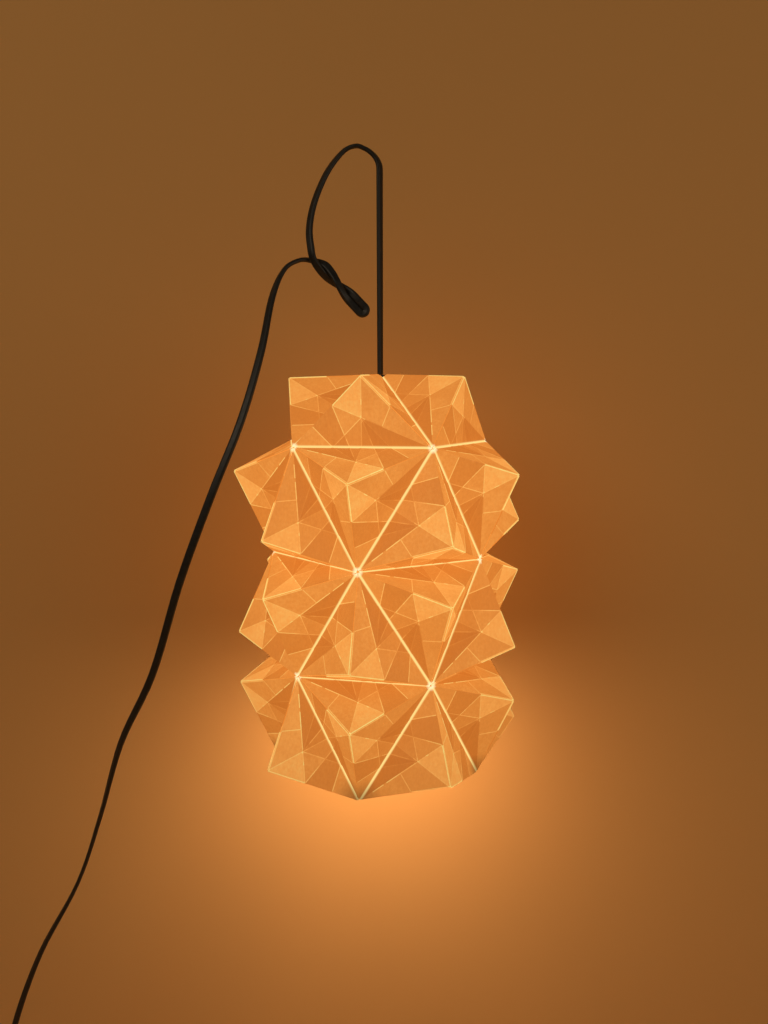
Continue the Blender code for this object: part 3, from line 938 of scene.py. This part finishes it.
def lampholder(plastic):
    place = (LAMP_X, 0, TOP_NODE_Z)

    def cone(radius, drop=CONE_TOP):
        return -(drop + radius * CONE_SLOPE)

    hole = 0.0037
    inner = HOLDER_RADIUS - 0.002
    groove = HOLDER_RADIUS - 0.0008
    cap = [(hole, cone(hole, 0.0043)), (hole, cone(hole)), (inner, cone(inner))]
    cap += [(HOLDER_RADIUS, cone(HOLDER_RADIUS) - 0.0008), (HOLDER_RADIUS, -0.021)]
    cap += [(groove, -0.0216), (groove, -0.0226), (HOLDER_RADIUS, -0.0232)]
    cap += [(HOLDER_RADIUS, -CAP_HEIGHT + 0.0006), (HOLDER_RADIUS - 0.0006, -CAP_HEIGHT)]
    cap += [(inner, -CAP_HEIGHT), (inner, cone(inner, 0.0043))]
    profile = rounded(cap, 0.0006, 2)
    mesh = turned("holder_cap", profile + [profile[0]], place)
    tidy_loop(mesh)
    piece("holder_cap", mesh, "lampholder", plastic, ("lampholder_cap",))

    def ribbed(radius, height, angle):
        on_ribs = radius > HOLDER_RADIUS - 0.0001 and -0.060 < height < -0.040
        return radius - 0.0006 * (0.5 - 0.5 * math.cos(36 * angle)) if on_ribs else radius

    neck = inner - 0.0003
    top = -CAP_HEIGHT
    skirt = [(0.0001, top + 0.005), (neck, top + 0.005), (neck, top - 0.0003)]
    skirt += [(HOLDER_RADIUS - 0.0005, top - 0.0003), (HOLDER_RADIUS, top - 0.0008)]
    skirt += [(HOLDER_RADIUS, -0.0398), (HOLDER_RADIUS, -0.0402)]
    skirt += [(HOLDER_RADIUS, -0.0598), (HOLDER_RADIUS, -0.0602), (HOLDER_RADIUS, -SKIRT_END + 0.002)]
    skirt += [(HOLDER_RADIUS - 0.002, -SKIRT_END), (SOCKET_RADIUS + 0.0012, -SKIRT_END)]
    skirt += [(SOCKET_RADIUS, -SKIRT_END + 0.0012), (SOCKET_RADIUS, -SKIRT_END + SOCKET_DEPTH)]
    skirt += [(0.0001, -SKIRT_END + SOCKET_DEPTH)]
    mesh = turned("holder_skirt", skirt, place, 288, ribbed)
    piece("holder_skirt", mesh, "lampholder", plastic, ("lampholder_skirt",))

    grip = [(0.0001, -0.0006), (0.0033, -0.0006), (0.0036, -0.0008), (0.0038, -0.0012), (0.0038, -0.0029)]
    grip += [(0.0034, -0.0033), (0.0034, -0.014), (0.0001, -0.014)]
    mesh = turned("grip_head", grip, place, 72)
    piece("grip_head", mesh, "lampholder", plastic, ("cord_grip",))


def tidy_loop(mesh):
    """Joins a turned profile's last ring to its first, for a solid with a bore."""
    joined = bmesh.new()
    joined.from_mesh(mesh)
    ends = [face for face in joined.faces if len(face.verts) > 4]
    bmesh.ops.delete(joined, geom=ends, context="FACES_ONLY")
    bmesh.ops.remove_doubles(joined, verts=joined.verts, dist=1e-6)
    bmesh.ops.recalc_face_normals(joined, faces=joined.faces)
    joined.to_mesh(mesh)
    joined.free()


def bulb(metal, glass):
    place = (LAMP_X, 0, TOP_NODE_Z)
    top = -SKIRT_END + SOCKET_DEPTH - 0.0003
    thread_top, thread_end = top - 0.0065, -0.0685
    pitch = 0.0036

    def threaded(radius, height, angle):
        if not thread_end < height < thread_top:
            return radius
        fade = min(1, (thread_top - height) / 0.002, (height - thread_end) / 0.002)
        return radius - 0.0008 * fade * (0.5 + 0.5 * math.cos(2 * math.pi * height / pitch - angle))

    base = [(0.0001, top), (0.0045, top - 0.0005), (0.0060, top - 0.0030), (0.0122, top - 0.0050)]
    steps = 64
    base += [(0.0131, thread_top + (thread_end - thread_top) * i / steps) for i in range(steps + 1)]
    base += [(0.0131, -0.0698), (0.0129, -0.0700), (0.0001, -0.0700)]
    mesh = turned("screw_base", base, place, 72, threaded)
    piece("screw_base", mesh, "bulb", metal, ("bulb_base",))
    start = math.radians(52)
    arc_steps = 28
    angles = [start - i * (start + math.pi / 2) / arc_steps for i in range(arc_steps)]
    globe = [(BULB_RADIUS * math.cos(a), -BULB_CENTRE + BULB_RADIUS * math.sin(a)) for a in angles]
    neck = [(0.0128, -0.0703), (0.0129, -0.0725), (0.0132, -0.0765), (0.0140, -0.0803), (0.0150, -0.0850)]
    neck += [(0.0164, -0.0918)]
    profile = [(0.0001, -0.0703)] + neck + globe + [(0.0001, -BULB_CENTRE - BULB_RADIUS)]
    mesh = turned("opal_globe", profile, place)
    piece("opal_globe", mesh, "bulb", glass, ("bulb_glass",), sharp=50)


def squircle(half_x, half_y, power, steps=48):
    found = []
    for i in range(steps):
        angle = 2 * math.pi * i / steps
        c, s = math.cos(angle), math.sin(angle)
        x = half_x * math.copysign(abs(c) ** (2 / power), c)
        y = half_y * math.copysign(abs(s) ** (2 / power), s)
        found.append((x, y))
    return found


def plug(plastic, metal):
    """The body goes from a round ribbed relief to a flattened grip. Two pins stand out of a small plate."""
    body_end = -0.058
    rings = []

    def ring(height, half_x, half_y, power):
        outline = squircle(half_x, half_y, power)
        rings.append([Vector((PLUG_X + x, PLUG_Y + y, PLUG_TOP_Z + height)) for x, y in outline])

    ring(0, 0.0012, 0.0012, 2)
    ring(0, 0.0030, 0.0034, 2)
    ribs = 7
    for i in range(ribs):
        grow = 0.0034 + 0.0016 * i / (ribs - 1)
        z = -0.0006 - 0.0030 * i
        for down, inset in ((0, 0), (0.0014, 0), (0.0017, 0.0007), (0.0027, 0.0007)):
            ring(z - down, grow - inset, grow - inset, 2)
    for step in range(9):
        t = step / 8
        ease = t * t * (3 - 2 * t)
        ring(-0.0218 - 0.0055 * t, 0.0050 + 0.0078 * ease, 0.0050 + 0.0018 * ease, 2 + 2.2 * ease)
    grooves = 5
    for i in range(grooves):
        z = -0.0305 - 0.0042 * i
        for down, inset in ((0, 0), (0.0004, 0.0006), (0.0016, 0.0006), (0.0020, 0)):
            waist = 0.0004 * math.sin(math.pi * (-z - down - 0.03) / 0.02)
            ring(z - down, 0.0129 - inset - waist, 0.0068 - inset / 2, 4.2)
    ring(body_end + 0.0012, 0.0129, 0.0068, 4.4)
    ring(body_end + 0.0003, 0.0125, 0.0064, 4.4)
    ring(body_end, 0.0117, 0.0056, 4.4)
    body = piece("plug_grip", loft_mesh("plug_grip", rings), "cord", plastic, ("plug_body",))
    plate_top = PLUG_TOP_Z + body_end - 0.0003
    plate = bmesh.new()
    plate_rings = []
    for height, inset in ((0, 0), (-0.0016, 0), (-0.0020, 0.0004)):
        outline = squircle(0.0098 - inset, 0.0050 - inset, 6)
        plate_rings.append([Vector((PLUG_X + x, PLUG_Y + y, plate_top + height)) for x, y in outline])
    plate.from_mesh(loft_mesh("plate", plate_rings))
    pin = [(0.0001, 0.0001), (0.0020, 0.0001), (0.0020, -0.0098), (0.0018, -0.0100), (0.0018, -0.0175)]
    pin += [(0.0014, -0.0187), (0.0007, -0.0190), (0.0001, -0.0190)]
    for sign in (-1, 1):
        place = (PLUG_X + sign * 0.0095, PLUG_Y, plate_top - 0.002)
        plate.from_mesh(turned("pin", pin, place, 32))
    mesh = bpy.data.meshes.new("plug_contacts")
    plate.to_mesh(mesh)
    plate.free()
    pins = piece("plug_contacts", mesh, "cord", metal, ("plug_pins",))
    return [body, pins]


camera()
cord_rubber = cord_material()
plug_black = moulded_material("plug_plastic", 0.50)
plated = metal_material()
plug_pieces = plug(plug_black, plated)
tie = coil_tie(tie_material())
cord_piece, cord_centre, cord_length = cord(cord_rubber)
shade(paper_material())
lampholder(moulded_material("holder_plastic", 0.42))
bulb(plated, opal_material())
studio()
